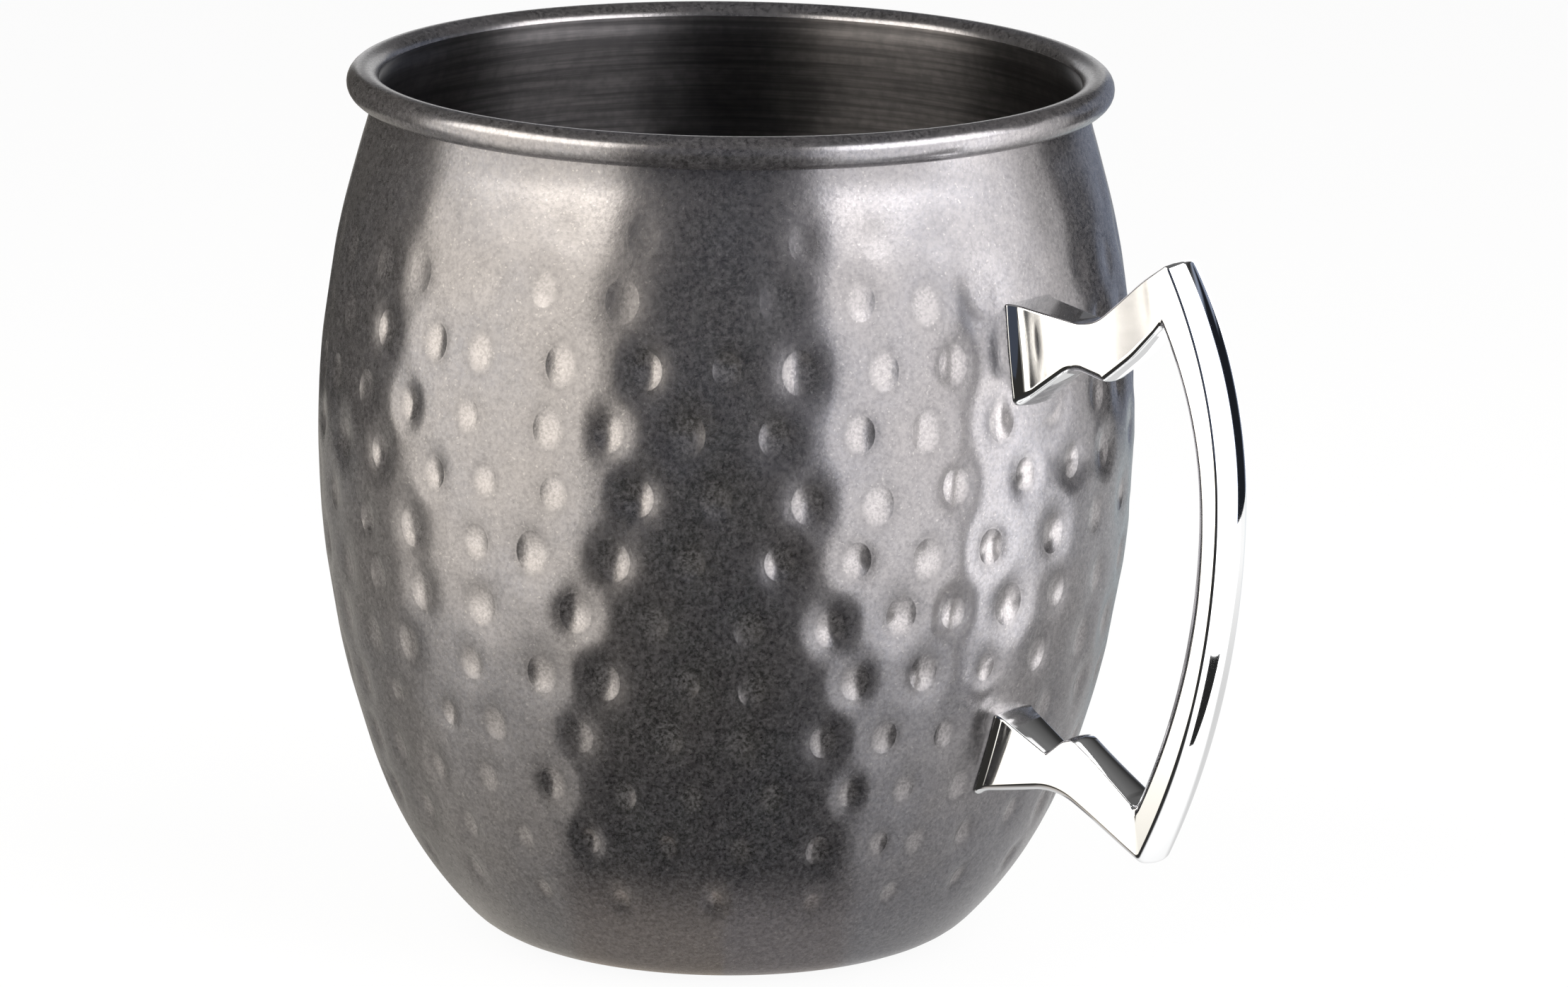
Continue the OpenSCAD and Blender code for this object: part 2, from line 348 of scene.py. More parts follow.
def gunmetal():
    """Dark plated steel: a sandy grain, a mottle and a few pale specks over slow warm and cool clouds.
    Each mark's middle is brighter, partly from the hammer's face burnishing it and partly a painted
    highlight, and the dip round it is painted darker as shade. The grain's dark lumps are barer metal and a
    little rougher. Each mark's rim is sharpened
    by its distance: the sharp rim's height less the mesh's soft one."""
    material, tree = new_material("gunmetal")
    place = tree.node("ShaderNodeTexCoord", output="Object")
    away = tree.node("ShaderNodeAttribute", {"attribute_name": "mark_away"}, output="Fac")
    strength = tree.node("ShaderNodeAttribute", {"attribute_name": "mark_strength"}, output="Fac")
    inner = 1 - away * away
    sharp = (inner * inner + SHARP_RIM**2).math("SQRT")
    soft = (inner * inner + MARK_RIM**2).math("SQRT")
    rim = 0.5 * MARK_DEEP * strength * (soft - sharp)
    full = stretch(strength, 0.4, 0.7, 0, 1)
    # each mark's lighter middle: burnish on the metal and a painted highlight
    burnish_and_sheen = stretch(inner, -0.35, 0.95, 0, 1) * full
    # painted shade in the dip round each mark
    dip_shade = stretch(away, 1.0, 1.55, 1, 0) * full
    sand = noise(place, 2700, 2, 0.65)
    mottle = noise(place, 1400, 1)
    speck = stretch(noise(place, 2600, 1), 0.66, 0.76, 0, 1)
    cloud = noise(place, 45, 3)
    colour = tint(stretch(cloud, 0.35, 0.65, 0, 1), WARM_PLATE, COOL_PLATE)
    colour = tint(0.35 * dip_shade, colour, DIP_SHADE_PLATE)
    colour = tint(0.9 * burnish_and_sheen, colour, BURNISH_SHEEN_PLATE)
    colour = tint(stretch(sand, 0.3, 0.7, 0, 0.48), colour, DARK_SAND)
    colour = tint(stretch(mottle, 0.3, 0.7, 0.18, 0), colour, PALE_MOTTLE)
    colour = tint(0.22 * speck, colour, PALE_SPECK)
    metallic = 0.875 + stretch(sand, 0.3, 0.7, -0.07, 0.065)
    metallic = metallic + stretch(mottle, 0.3, 0.7, -0.03, 0.03) - 0.04 * speck
    rough = 0.15 + 0.18 * sand - 0.04 * burnish_and_sheen
    height = SAND_BUMP * sand + MOTTLE_BUMP * mottle + rim
    normal = tree.node("ShaderNodeBump", None, {"Strength": 1.0, "Distance": MM, "Height": height})
    shader = tree.node(
        "ShaderNodeBsdfPrincipled",
        None,
        {"Base Color": colour, "Metallic": metallic, "Roughness": rough, "Normal": normal},
    )
    tree.node("ShaderNodeOutputMaterial", None, {"Surface": shader})
    return material


def spun_gunmetal_shaded():
    """The same plating inside, over rings left by spinning, which spread the gloss up and down, in darker
    colours that are painted shade for the inside of the cup.
    """
    material, tree = new_material("spun_gunmetal_shaded")
    place = tree.node("ShaderNodeTexCoord", output="Object")
    ring_place = tree.node("ShaderNodeMapping", None, {"Vector": place, "Scale": (45, 45, 1700)})
    rings = noise(ring_place, 1, 3, 0.65)
    mottle = noise(place, 700, 2, 0.6)
    # darker than the outside: painted shade inside the cup
    colour = tint(stretch(rings, 0.3, 0.7, 0, 1), SPUN_DARK, SPUN_PALE)
    colour = tint(stretch(mottle, 0.35, 0.7, 0, 0.4), colour, SPUN_MOTTLE)
    rough = 0.4 + 0.1 * rings
    height = RING_BUMP * rings
    normal = tree.node("ShaderNodeBump", None, {"Strength": 1.0, "Distance": MM, "Height": height})
    shader = tree.node(
        "ShaderNodeBsdfPrincipled",
        None,
        {
            "Base Color": colour,
            "Metallic": 0.97,
            "Roughness": rough,
            "Normal": normal,
            "Anisotropic": 0.9,
            "Anisotropic Rotation": 0.25,
        },
    )
    tree.node("ShaderNodeOutputMaterial", None, {"Surface": shader})
    return material


cup = cup_mesh()
cup.data.materials.append(gunmetal())
cup.data.materials.append(spun_gunmetal_shaded())
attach(cup, "root")
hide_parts("cup_shell")

# Handle
# One casting, ground flat on both sides, polished and chrome plated. Its outer face is domed, its edges
# are broken, and its two feet flare out in hollow curves where they sit on the cup's wall.
HANDLE_T = 5.3
GRIP_X = 74.0
GRIP_W = 3.05
GRIP_Z = 59.8
GRIP_CROWN = 0.8
GRIP_R = (51.5, 88)  # outer edge, above and below its outermost point
FINGER_R = (39, 77)
FOOT_W = (8.25, 7.45)
FOOT_RISE = ((0, 0), (0.4, 0))  # how far each foot's outer and finger edges spread at the wall
SLOW_REACH = 13  # length of the arms' slow flare
WAIST = 0.55  # how much the arms' sides are hollowed, and how far from the wall that ends
WAIST_END = 26
FLARE_R = (3, 1.6)  # round flare at the wall, and its reach over its radius
FLARE_REACH = 0.707
LEAN = np.tan(np.radians(3.8))  # draft of the lower arm's sides, wider towards its underside
LIP_R = 1.6  # round flare at a foot's upper and lower edges
LIP_REACH = 1.5
FINGER_EDGE_R = (1, 1.6, 0.25)  # rounding of the finger edge: upper arm, grip, lower arm
OUTER_EDGE_R = (0.25, 0.25, 0.9)
FINGER_CROWN = 0.15  # swell of the arms' finger faces
SEAT = 0.1  # depth to which the feet reach into the wall's face
FINGER_BEND = 0.4  # length of the bends between arms and grip, to either side of the corner
OUTER_BEND = 0.5
ARM_ROWS = 100  # sections along each arm, the grip and each bend
GRIP_ROWS = 100
BEND_ROWS = 9
FINGER_TURNS = (95, 110, -112, -100)  # sections where an edge's rounding changes, from either end
OUTER_TURNS = (95, 110, 180, -100)
LEAN_ROWS = (-150, -108)  # sections between which the draft begins
SWELL_ROWS = 95  # sections of each arm whose finger face swells
FINGER_COLS = 5  # points across half the finger face, along a side and across half the outer face
SIDE_COLS = 10
OUTER_COLS = 8
FLAT_END = 0.97  # how far across a face its last point before the rounding stands
CHROME_DARK = (0.88, 0.89, 0.9, 1)
CHROME_PALE = (0.93, 0.935, 0.94, 1)
UPPER_TOP = [(37.65, 80.8, 0), (55.05, 78.5, 6), (62.55, 84.9, 25), (76.65, 94.4, 0)]
UPPER_UNDER = [(37.65, 61.6, 0), (52.7, 73.6, 3), (57.05, 72.65, 0.5), (61.15, 75.9, 20), (74.65, 89.4, 0)]
LOWER_TOP = [(33.65, 38.2, 0), (50.3, 29.3, 0.4), (53.25, 31.9, 2), (74.65, 18.2, 0)]
LOWER_UNDER = [(33.65, 21.8, 0), (51.55, 25.5, 9), (76.65, 13.8, 0)]


def wall_x(z):
    """Radius of the cup's outside at a height on the belly."""
    return belly_cx + np.sqrt(belly_r**2 - (z - BELLY_Z) ** 2)


def rounded(corners):
    """A line through corners given as x, z and radius, with each corner replaced by its arc."""
    pts = np.array([c[:2] for c in corners], float)
    line = [pts[:1]]
    for before, at, after, radius in zip(pts, pts[1:], pts[2:], [c[2] for c in corners[1:]]):
        u = (before - at) / np.linalg.norm(before - at)
        w = (after - at) / np.linalg.norm(after - at)
        half = np.arccos(u @ w) / 2
        middle = at + (u + w) / np.linalg.norm(u + w) * radius / np.sin(half)
        first = at + u * radius / np.tan(half) - middle
        side = np.sign(first[0] * (w - u)[1] - first[1] * (w - u)[0])
        angle = np.arctan2(first[1], first[0]) + side * np.linspace(0, np.pi - 2 * half, 24)
        line.append(middle + radius * np.stack([np.cos(angle), np.sin(angle)], axis=1))
    line.append(pts[-1:])
    return np.concatenate(line)


def even(line, count):
    """The same line with so many points at even distances."""
    run = np.concatenate([[0], np.cumsum(np.linalg.norm(np.diff(line, axis=0), axis=1))])
    at = np.linspace(0, run[-1], count)
    return np.stack([np.interp(at, run, line[:, 0]), np.interp(at, run, line[:, 1])], axis=1)


def arm(corners, centre_x, radius):
    """An arm's edge from the wall out to the grip's arc, and the arc's angle where they meet."""
    line = even(rounded(corners), 2000)
    outside = line[:, 0] > wall_x(line[:, 1]) - SEAT
    within = np.hypot(line[:, 0] - centre_x, line[:, 1] - GRIP_Z) < radius
    line = line[outside & within]
    return line, np.arctan2(line[-1, 1] - GRIP_Z, line[-1, 0] - centre_x)


def handle_edge(upper, lower, reach, radii, bend):
    """One edge of the handle in its own plane: upper arm, a bend, the grip's two arcs, a bend, lower arm.
    A bend runs from a point before the corner to one after it, on the curve that the corner pulls in."""
    above, above_angle = arm(upper, reach - radii[0], radii[0])
    below, below_angle = arm(lower, reach - radii[1], radii[1])
    top = arc(reach - radii[0], GRIP_Z, radii[0], above_angle, 0, 0.05)[:, :2]
    bottom = arc(reach - radii[1], GRIP_Z, radii[1], 0, below_angle, 0.05)[1:, :2]
    grip = np.concatenate([top, bottom])

    def trimmed(line):
        """The line without a bend's length at its end."""
        run = np.cumsum(np.linalg.norm(np.diff(line, axis=0), axis=1))
        return line[np.concatenate([[True], run < run[-1] - bend])]

    upper_run = trimmed(above)
    lower_run = trimmed(below)[::-1]
    grip_run = trimmed(trimmed(grip)[::-1])[::-1]
    t = np.linspace(0, 1, BEND_ROWS + 2)[1:-1, None]
    top_bend = (1 - t) ** 2 * upper_run[-1] + 2 * t * (1 - t) * above[-1] + t**2 * grip_run[0]
    low_bend = (1 - t) ** 2 * grip_run[-1] + 2 * t * (1 - t) * below[-1] + t**2 * lower_run[0]
    upper_run = even(upper_run, ARM_ROWS)
    grip_run = even(grip_run, GRIP_ROWS)
    lower_run = even(lower_run, ARM_ROWS)
    return np.concatenate([upper_run, top_bend, grip_run, low_bend, lower_run])


def flare(away, radius, reach):
    """Rise of a round hollow that starts level at a distance from the wall and is steepest at the wall."""
    return radius - np.sqrt(radius**2 - np.clip(reach - away, 0, reach) ** 2)


def handle_mesh():
    """A rounded section carried along the handle, between its finger edge and its outer edge. Faces swell
    by their crown times one less the square of the share across, and the grip's swell fades inwards by
    an eighth power. The arms are waisted by the square of a sine, and the feet widen towards the wall by
    the square of the nearness and then by a round hollow."""
    finger = handle_edge(UPPER_UNDER, LOWER_TOP, GRIP_X - GRIP_W, FINGER_R, FINGER_BEND)
    outer = handle_edge(UPPER_TOP, LOWER_UNDER, GRIP_X, GRIP_R, OUTER_BEND)
    rows = len(outer)
    row = np.arange(rows)
    for rise, arm_rows in zip(FOOT_RISE, (row < ARM_ROWS, row >= rows - ARM_ROWS)):
        for line, spread, other in ((outer, rise[0], finger), (finger, rise[1], outer)):
            lip = flare(line[:, 0] - wall_x(line[:, 1]), LIP_R, LIP_REACH) / flare(0, LIP_R, LIP_REACH)
            line[:, 1] += arm_rows * spread * np.sign(line - other)[:, 1] * lip
    crown = GRIP_CROWN * ((row >= ARM_ROWS) & (row < rows - ARM_ROWS))
    middle_x = np.where(outer[:, 1] > GRIP_Z, GRIP_X - GRIP_R[0], GRIP_X - GRIP_R[1])
    normal = outer - np.stack([middle_x, np.full(rows, GRIP_Z)], axis=1)
    normal /= np.linalg.norm(normal, axis=1)[:, None]
    half = HANDLE_T / 2
    quarter = np.linspace(0, np.pi / 2, 9)
    finger_turns = np.array(FINGER_TURNS) % rows
    outer_turns = np.array(OUTER_TURNS) % rows
    finger_r = np.interp(row, finger_turns, np.repeat(FINGER_EDGE_R, [1, 2, 1]))[:, None]
    outer_r = np.interp(row, outer_turns, np.repeat(OUTER_EDGE_R, [1, 2, 1]))[:, None]
    finger_flat = half - finger_r
    outer_flat = half - outer_r
    across = np.concatenate(
        [
            finger_flat * np.linspace(0, FLAT_END, FINGER_COLS),
            finger_flat + finger_r * np.sin(quarter),
            np.full((rows, SIDE_COLS), half),
            outer_flat + outer_r * np.cos(quarter),
            outer_flat * np.linspace(FLAT_END, 0, OUTER_COLS + 1)[:-1],
        ],
        axis=1,
    )
    width = np.linalg.norm(outer - finger, axis=1)[:, None]
    finger_edge = finger_r / width
    outer_edge = outer_r / width
    share = np.concatenate(
        [
            np.zeros((rows, FINGER_COLS)),
            finger_edge * (1 - np.cos(quarter)),
            finger_edge + (1 - finger_edge - outer_edge) * np.linspace(0.01, 0.99, SIDE_COLS),
            1 - outer_edge * (1 - np.sin(quarter)),
            np.ones((rows, OUTER_COLS)),
        ],
        axis=1,
    )
    arms = ((row < SWELL_ROWS) | (row >= rows - SWELL_ROWS))[:, None]
    finger_share = across[:, :FINGER_COLS] / finger_flat
    share[:, :FINGER_COLS] -= arms * FINGER_CROWN / width * (1 - finger_share**2)
    across = np.concatenate([across, -across[:, :0:-1]], axis=1)
    share = np.concatenate([share, share[:, :0:-1]], axis=1)
    swell = crown[:, None] * (1 - (across / half) ** 2) * (share > 0.5) * np.clip(share, 0, 1) ** 8
    plane = finger[:, None] + (outer - finger)[:, None] * share[..., None]
    plane = plane + normal[:, None] * swell[..., None]
    x, z = plane[..., 0], plane[..., 1]
    foot_half = np.where(z > GRIP_Z, FOOT_W[0], FOOT_W[1]) / 2
    away = np.maximum(x - np.sqrt((wall_x(z) - SEAT) ** 2 - foot_half**2), 0)
    flare_r = np.where(z > GRIP_Z, FLARE_R[0], FLARE_R[1])
    flare_reach = FLARE_REACH * flare_r
    slow = foot_half - half - flare(0, flare_r, flare_reach)
    waist = WAIST * np.sin(np.pi * np.clip(away / WAIST_END, 0, 1)) ** 2
    lean = np.interp(row, np.array(LEAN_ROWS) % rows, [0, LEAN])[:, None] * (share - 0.5) * width
    widening = slow * np.clip(1 - away / SLOW_REACH, 0, 1) ** 2 + flare(away, flare_r, flare_reach)
    y = across * (1 + (widening - waist + lean) / half)
    for end in (0, -1):
        x[end] = np.sqrt((wall_x(z[end]) - SEAT) ** 2 - y[end] ** 2)
    rings = np.stack([x, y, z], axis=-1)
    return closed_skin("loop_handle", rings[0].mean(axis=0), rings, rings[-1].mean(axis=0))


def polished_chrome():
    """Bright plating with a faint haze left by the polishing wheel."""
    material, tree = new_material("polished_chrome")
    place = tree.node("ShaderNodeTexCoord", output="Object")
    haze = noise(place, 130, 3)
    lines = noise(tree.node("ShaderNodeMapping", None, {"Vector": place, "Scale": (900, 3000, 900)}), 1, 2)
    colour = tint(haze, CHROME_DARK, CHROME_PALE)
    rough = 0.02 + 0.03 * haze + 0.02 * lines
    normal = tree.node("ShaderNodeBump", None, {"Strength": 0.02, "Distance": 0.01 * MM, "Height": lines})
    shader = tree.node(
        "ShaderNodeBsdfPrincipled",
        None,
        {"Base Color": colour, "Metallic": 1.0, "Roughness": rough, "Normal": normal},
    )
    tree.node("ShaderNodeOutputMaterial", None, {"Surface": shader})
    return material


handle = handle_mesh()
handle.data.materials.append(polished_chrome())
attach(handle, "root")
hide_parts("handle")

# Rivets
# Two formed stainless rivets, put in from inside the cup through the wall into each foot of the handle.
# Only the satin domed heads show, seated on the wall's inside.
RIVET_R = 1.5
RIVET_GRIP = 5
HEAD_R = 3.5
HEAD_H = 1.4
HEAD_SEAT = 0.25  # depth to which the head's rim follows the curve of the wall
SHANK_BREAK = 0.2  # broken edge at the shank's end
CAP_ROWS = 13
RIVET_COLUMNS = 48
RIVET_DARK = (0.36, 0.35, 0.34, 1)
RIVET_PALE = (0.5, 0.49, 0.48, 1)


def rivet_mesh(name, height):
    """A rivet's section turned about the wall's normal: domed head on the inside, then the shank."""
    ball = (HEAD_R**2 + HEAD_H**2) / (2 * HEAD_H)
    rim = np.arcsin(HEAD_R / ball)
    cap = np.linspace(0, rim, CAP_ROWS + 1)[1:]
    radius = np.concatenate([ball * np.sin(cap), [HEAD_R, RIVET_R, RIVET_R, RIVET_R - SHANK_BREAK]])
    dome = -SHEET_T - HEAD_H + ball * (1 - np.cos(cap))
    under = -SHEET_T + HEAD_SEAT
    depth = np.concatenate([dome, [under, under, RIVET_GRIP - SHANK_BREAK, RIVET_GRIP]])
    turn = np.linspace(0, 2 * np.pi, RIVET_COLUMNS, endpoint=False)
    tilt = np.arcsin((height - BELLY_Z) / belly_r)
    out = np.array([np.cos(tilt), 0, np.sin(tilt)])
    up = np.array([-np.sin(tilt), 0, np.cos(tilt)])
    aside = np.array([0, 1, 0])
    foot = np.array([wall_x(height), 0, height])
    spoke = np.cos(turn)[:, None] * up + np.sin(turn)[:, None] * aside
    rings = foot + depth[:, None, None] * out + radius[:, None, None] * spoke
    return closed_skin(name, foot - (SHEET_T + HEAD_H) * out, rings, foot + RIVET_GRIP * out)


def satin_steel():
    """Formed stainless with a fine even grain."""
    material, tree = new_material("satin_steel")
    place = tree.node("ShaderNodeTexCoord", output="Object")
    grain = noise(place, 4200, 3)
    colour = tint(grain, RIVET_DARK, RIVET_PALE)
    rough = 0.24 + 0.12 * grain
    normal = tree.node("ShaderNodeBump", None, {"Strength": 0.2, "Distance": 0.02 * MM, "Height": grain})
    shader = tree.node(
        "ShaderNodeBsdfPrincipled",
        None,
        {"Base Color": colour, "Metallic": 1.0, "Roughness": rough, "Normal": normal},
    )
    tree.node("ShaderNodeOutputMaterial", None, {"Surface": shader})
    return material


rivet_finish = satin_steel()
for name, height in zip(("upper_rivet", "lower_rivet"), FOOT_HEIGHTS):
    rivet = rivet_mesh(name + "_formed", height)
    rivet.data.materials.append(rivet_finish)
    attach(rivet, "root")
    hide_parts(name)

# Camera
# A long lens in front of the mug and a little above it, with the handle to the right.
VIEW_TURN = np.radians(42)
CAMERA_AWAY = 949.84
CAMERA_UP = 277.04
PITCH_DOWN = 0.23429
YAW_RIGHT = 0.0070275
ROLL = 0.0137867
SENSOR_W = 36
FOCAL_LENGTH = 195.65
lens = bpy.data.cameras.new("long_lens")
lens.sensor_width = SENSOR_W
lens.lens = FOCAL_LENGTH
camera = bpy.data.objects.new("camera", lens)
stand = Vector((np.sin(VIEW_TURN) * CAMERA_AWAY, -np.cos(VIEW_TURN) * CAMERA_AWAY, CAMERA_UP))
camera.location = stand * MM
heading = Euler((np.pi / 2 - PITCH_DOWN, 0, VIEW_TURN - YAW_RIGHT)).to_quaternion()
camera.rotation_mode = "QUATERNION"
camera.rotation_quaternion = heading @ Quaternion((0, 0, 1), ROLL)
bpy.context.scene.collection.objects.link(camera)
bpy.context.scene.camera = camera

# Studio
# A pale floor between two tall soft boxes. The metal mirrors a card at either side that glows with its
# box's light painted on it, a sweep on the floor painted with the boxes' light and the mug's shade, dark
# cards in front and overhead, and a small card by the handle that glows with painted light and a dark flag.
# Angles are degrees from the camera's side, to the right.
FLOOR_HALF = 4000
FLOOR_Z = -0.05
FLOOR_GREY = (0.85, 0.85, 0.85, 1)
FLOOR_WHITENESS = 0.93
BOX_AWAY = 350
BOXES = [  # name, angle, width, height, glow and colour
    ("left_box", -67.5, 445, 900, 3.8, (1, 0.97, 0.92)),
    ("right_box", 65.5, 555, 900, 3.8, (1, 0.99, 0.98)),
]
SIDE_AWAY = 290
SIDE_HIGH = 900
SIDE_SPANS = [("left_card", -160, -28), ("right_card", 21, 160)]
SIDE_LIT_Z = (0, 75, 120, 150, 172, 190, 310, 370)  # heights on a side card, and the box's light painted there as glow
SIDE_LIT = (2.85, 3.05, 3.05, 2.6, 5.7, 7.8, 7.2, 0.13)
LEFT_TINT = (1, 0.95, 0.855)
RIGHT_TINT = (1, 0.99, 0.985)
BACK_TINT = (0.82, 0.94, 1.22)
FRONT_CARD_GLOW = (0.054, 0.063, 0.086)
FRONT_CARD_SPAN = (-50, 45)
FRONT_CARD_AWAY = 900
FRONT_CARD_HIGH = 800
OVER_GLOW = (0.13, 0.13, 0.135)
OVER_HALF = 3000
OVER_Z = 1000
SWEEP_Z = 0.2
SWEEP_AWAY = (20, 1300)
SWEEP_LIT_AWAY = (38, 60, 80, 119, 145, 200, 300)  # distances on the sweep, and the boxes' light painted there as glow
SWEEP_LIT = (0.65, 0.9, 1.12, 1.6, 2.2, 2.8, 2.9)
FRONT_GLOW = 0.03  # the sweep's glow in front of the mug, far and near, the near one a painted patch of light by the base
FRONT_NEAR_GLOW = 0.58
LEFT_BACK_GLOW = 0.42
RIGHT_BACK_GLOW = (0.72, 1.05)
GLOWING_REFLECTOR_X = (46, 53, 60, 67)  # a small card behind the handle that glows with painted light, brighter away from the cup
GLOWING_REFLECTOR_GLOW = (1, 1.7, 3.1, 3.2)
GLOWING_REFLECTOR_Y = 20
GLOWING_REFLECTOR_Z = (58, 107)
FLAG = [[(116, 4, 20), (110, 30, 20)], [(86, 1, 20), (86, 5, 20)]]  # a small dark card beside the handle
FLAG_GLOW = 0.02


def round_about(degrees):
    """Angle in the mug's frame of a direction given from the camera's side."""
    return VIEW_TURN - np.pi / 2 + np.radians(degrees)


def grid_piece(name, points):
    """An open sheet from a grid of points."""
    rows, cols = points.shape[:2]
    index = np.arange(rows * cols).reshape(rows, cols)
    corners = [index[:-1, :-1], index[1:, :-1], index[1:, 1:], index[:-1, 1:]]
    quads = np.stack(corners, axis=-1).reshape(-1, 4)
    mesh = bpy.data.meshes.new(name)
    mesh.from_pydata((points.reshape(-1, 3) * MM).tolist(), [], quads.tolist())
    piece = bpy.data.objects.new(name, mesh)
    bpy.context.scene.collection.objects.link(piece)
    return piece


def card_glow():
    """A card as bright as its glow says."""
    material, tree = new_material("card")
    glow = tree.node("ShaderNodeAttribute", {"attribute_name": "glow"}, output="Color")
    shader = tree.node("ShaderNodeEmission", None, {"Color": glow})
    tree.node("ShaderNodeOutputMaterial", None, {"Surface": shader})
    return material


card_finish = card_glow()


def card_piece(name, points, glow):
    """A sheet that only the metal's gloss sees, with its glow at each point."""
    piece = grid_piece(name, points)
    colour = np.ones(points.shape[:2] + (4,))
    colour[..., :3] = glow
    attribute = piece.data.attributes.new("glow", "FLOAT_COLOR", "POINT")
    attribute.data.foreach_set("color", colour.ravel().astype(np.float32))
    piece.data.materials.append(card_finish)
    piece.visible_camera = False
    piece.visible_diffuse = False
    piece.visible_shadow = False


def seen_share(tree):
    """One for rays from the camera, from gloss and from glass, and none for the rest."""
    path = tree.node("ShaderNodeLightPath", output="Is Camera Ray")
    glossy = tree.node("ShaderNodeLightPath", output="Is Glossy Ray")
    through = tree.node("ShaderNodeLightPath", output="Is Transmission Ray")
    return path + glossy + through


def pale_floor():
    """White that shows white, with a soft shadow."""
    material, tree = new_material("pale_floor")
    plain = tree.node("ShaderNodeBsdfDiffuse", None, {"Color": FLOOR_GREY})
    white = tree.node("ShaderNodeEmission", None, {"Color": (1, 1, 1, 1), "Strength": 1.0})
    seen = FLOOR_WHITENESS * seen_share(tree)
    shader = tree.node("ShaderNodeMixShader", None, {0: seen, 1: plain, 2: white})
    tree.node("ShaderNodeOutputMaterial", None, {"Surface": shader})
    return material


def ease(value, low, high):
    """A smooth step from none to one between two limits."""
    t = np.clip((value - low) / (high - low), 0, 1)
    return t * t * (3 - 2 * t)


side = np.array([-FLOOR_HALF, FLOOR_HALF])
floor = grid_piece("floor", np.stack(np.meshgrid(side, side, [FLOOR_Z]), axis=-1).reshape(2, 2, 3))
floor.data.materials.append(pale_floor())

turn, z = np.meshgrid(round_about(np.linspace(*FRONT_CARD_SPAN, 33)), [0, FRONT_CARD_HIGH])
front_card = np.stack([FRONT_CARD_AWAY * np.cos(turn), FRONT_CARD_AWAY * np.sin(turn), z], axis=-1)
card_piece("front_card", front_card, FRONT_CARD_GLOW)
over = np.array([-OVER_HALF, OVER_HALF])
over_card = np.stack(np.meshgrid(over, over, [OVER_Z]), axis=-1).reshape(2, 2, 3)
card_piece("over_card", over_card, OVER_GLOW)

# Each side card glows with its box's lit face painted between two soft edges, and the dim room behind that.
# The face is a little narrower higher up. On the right, the strip that the cup mirrors beside the handle is
# painted brighter, and the room has a dark stretch of painted shade next to the face and is dim again
# higher up.
for name, start, stop in SIDE_SPANS:
    turn, z = np.meshgrid(np.linspace(start, stop, 141), np.linspace(0, SIDE_HIGH, 121))
    lit = np.interp(z, SIDE_LIT_Z, SIDE_LIT)
    narrow = 4 * ease(z, 140, 180)
    if name == "left_card":
        face = ease(turn, narrow - 98, narrow - 92) * (1 - ease(turn, -35, -29))
        back = 0.06 + 0.07 * ease(z, 200, 260)
        colour = np.array(LEFT_TINT) + 0 * turn[..., None]
    else:
        face = ease(turn, narrow + 22, narrow + 28) * (1 - ease(turn, 86, 90))
        # painted light: a brighter strip where the cup mirrors the card beside the handle
        beside = 0.28 * ease(turn, 58, 66) + 0.35 * ease(turn, 62, 68) * (1 - ease(turn, 76, 82))
        lit *= 1 + beside * (1 - ease(z, 120, 150))
        shade_end = 128 - 16 * ease(z, 90, 115)
        shade = (1 - ease(z, 165, 185)) * (1 - ease(turn, shade_end, shade_end + 8))
        lower = 25 * ease(turn, 138, 143)
        high = ease(z, 185 - lower, 210 - lower)
        back = 0.33 + (np.interp(z, [215, 260, 350], [0.03, 0.1, 0.17]) - 0.33) * high
        back += (0.014 - back) * shade
        plain = np.maximum(face, high)[..., None]
        colour = np.array(BACK_TINT) + (np.array(RIGHT_TINT) - BACK_TINT) * plain
    angle = round_about(turn)
    side_card = np.stack([SIDE_AWAY * np.cos(angle), SIDE_AWAY * np.sin(angle), z], axis=-1)
    card_piece(name, side_card, (back + (lit - back) * face)[..., None] * colour)

x, z = np.meshgrid(GLOWING_REFLECTOR_X, GLOWING_REFLECTOR_Z)
glowing_reflector = np.stack([x, 0 * x + GLOWING_REFLECTOR_Y, z], axis=-1)
# glows with painted light
card_piece("glowing_reflector", glowing_reflector, np.outer(GLOWING_REFLECTOR_GLOW, RIGHT_TINT))
card_piece("flag", np.array(FLAG), FLAG_GLOW)

# The sweep is the floor as the metal mirrors it, with light and shade painted into its glow: bright with
# the boxes' light, painted shade behind the mug and close to it, and dark in front but for a warm painted
# patch of light near the base.
turn, away = np.meshgrid(np.linspace(-180, 180, 241), np.geomspace(*SWEEP_AWAY, 60))
right_edge = np.interp(away, [120, 220], [79, 99])
boxed = ease(turn, -94, -74) * (1 - ease(turn, -40, -28))
boxed += ease(turn, 20, 34) * (1 - ease(turn, right_edge - 8, right_edge + 8))
lit = np.interp(away, SWEEP_LIT_AWAY, SWEEP_LIT)
# painted shade close to the mug on the left, and more painted light on the right
lit *= 1 + 0.12 * (turn > 0) * ease(away, 80, 140) - 0.08 * (turn < 0) * (1 - ease(away, 85, 120))
beside = 0.25 * ease(turn, 58, 66) + 0.35 * ease(turn, 62, 68) * (1 - ease(turn, 76, 82))
lit *= 1 + beside * ease(away, 90, 140)
right = (turn > 0) * (1 - ease(turn, 150, 180))
behind = LEFT_BACK_GLOW + (np.interp(away, [120, 210], RIGHT_BACK_GLOW) - LEFT_BACK_GLOW) * right
far_right = ease(turn, 122, 150) * right
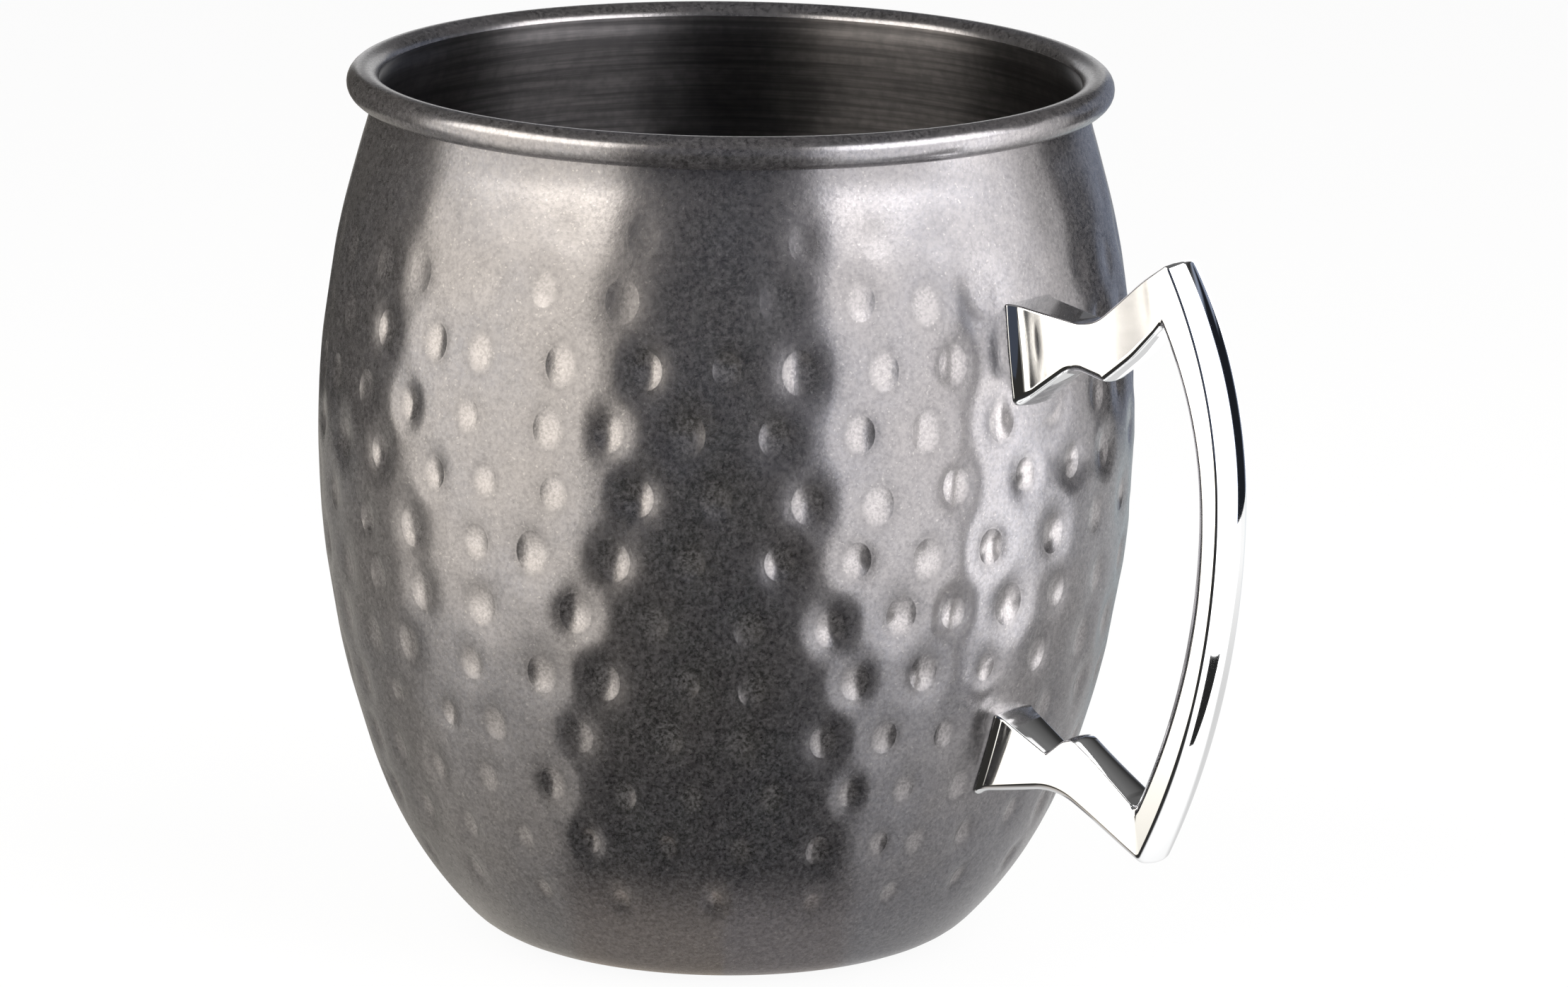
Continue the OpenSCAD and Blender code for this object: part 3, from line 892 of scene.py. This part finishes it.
behind *= 1 - 0.3 * far_right
level = behind + (lit - behind) * boxed
front_left = np.interp(away, [100, 160], [-37, -33])
front_right = np.interp(away, [60, 300], [31, 26])
front = ease(turn, front_left - 4, front_left + 4) * (1 - ease(turn, front_right - 4, front_right + 4))
# a painted patch of light near the base
front_level = FRONT_GLOW + (FRONT_NEAR_GLOW - FRONT_GLOW) * (1 - ease(away, 32, 49))
level += (front_level - level) * front
warm = np.stack([1 + 0 * turn, 0.955 + 0.04 * right, 0.87 + 0.12 * right], axis=-1)
warm[..., :2] *= 1 - far_right[..., None] * [0.15, 0.05]
warm[..., 1:] *= 1 - (front * (1 - ease(away, 40, 55)))[..., None] * [0.06, 0.1]
angle = round_about(turn)
sweep = np.stack([away * np.cos(angle), away * np.sin(angle), SWEEP_Z + 0 * turn], axis=-1)
card_piece("sweep_card", sweep, level[..., None] * warm)

for name, turn, wide, high, level, colour in BOXES:
    lamp = bpy.data.lights.new(name, "AREA")
    lamp.shape = "RECTANGLE"
    lamp.size = wide * MM
    lamp.size_y = high * MM
    lamp.color = colour
    lamp.energy = level * np.pi * wide * high * MM**2
    box = bpy.data.objects.new(name, lamp)
    angle = round_about(turn)
    box.location = Vector((np.cos(angle) * BOX_AWAY, np.sin(angle) * BOX_AWAY, high / 2)) * MM
    box.rotation_mode = "QUATERNION"
    box.rotation_quaternion = Vector((-np.cos(angle), -np.sin(angle), 0)).to_track_quat("-Z", "Y")
    box.visible_camera = False
    box.visible_glossy = False
    bpy.context.scene.collection.objects.link(box)

world = bpy.data.worlds.new("studio")
world.use_nodes = True
world.node_tree.nodes.clear()
sky = Value(world.node_tree)
ambient = sky.node("ShaderNodeBackground", None, {"Color": (0.35, 0.35, 0.35, 1)})
white = sky.node("ShaderNodeBackground", None, {"Color": (1, 1, 1, 1)})
seen = sky.node("ShaderNodeMixShader", None, {0: seen_share(sky), 1: ambient, 2: white})
sky.node("ShaderNodeOutputWorld", None, {"Surface": seen})
bpy.context.scene.world = world
bpy.context.scene.view_settings.view_transform = "Standard"
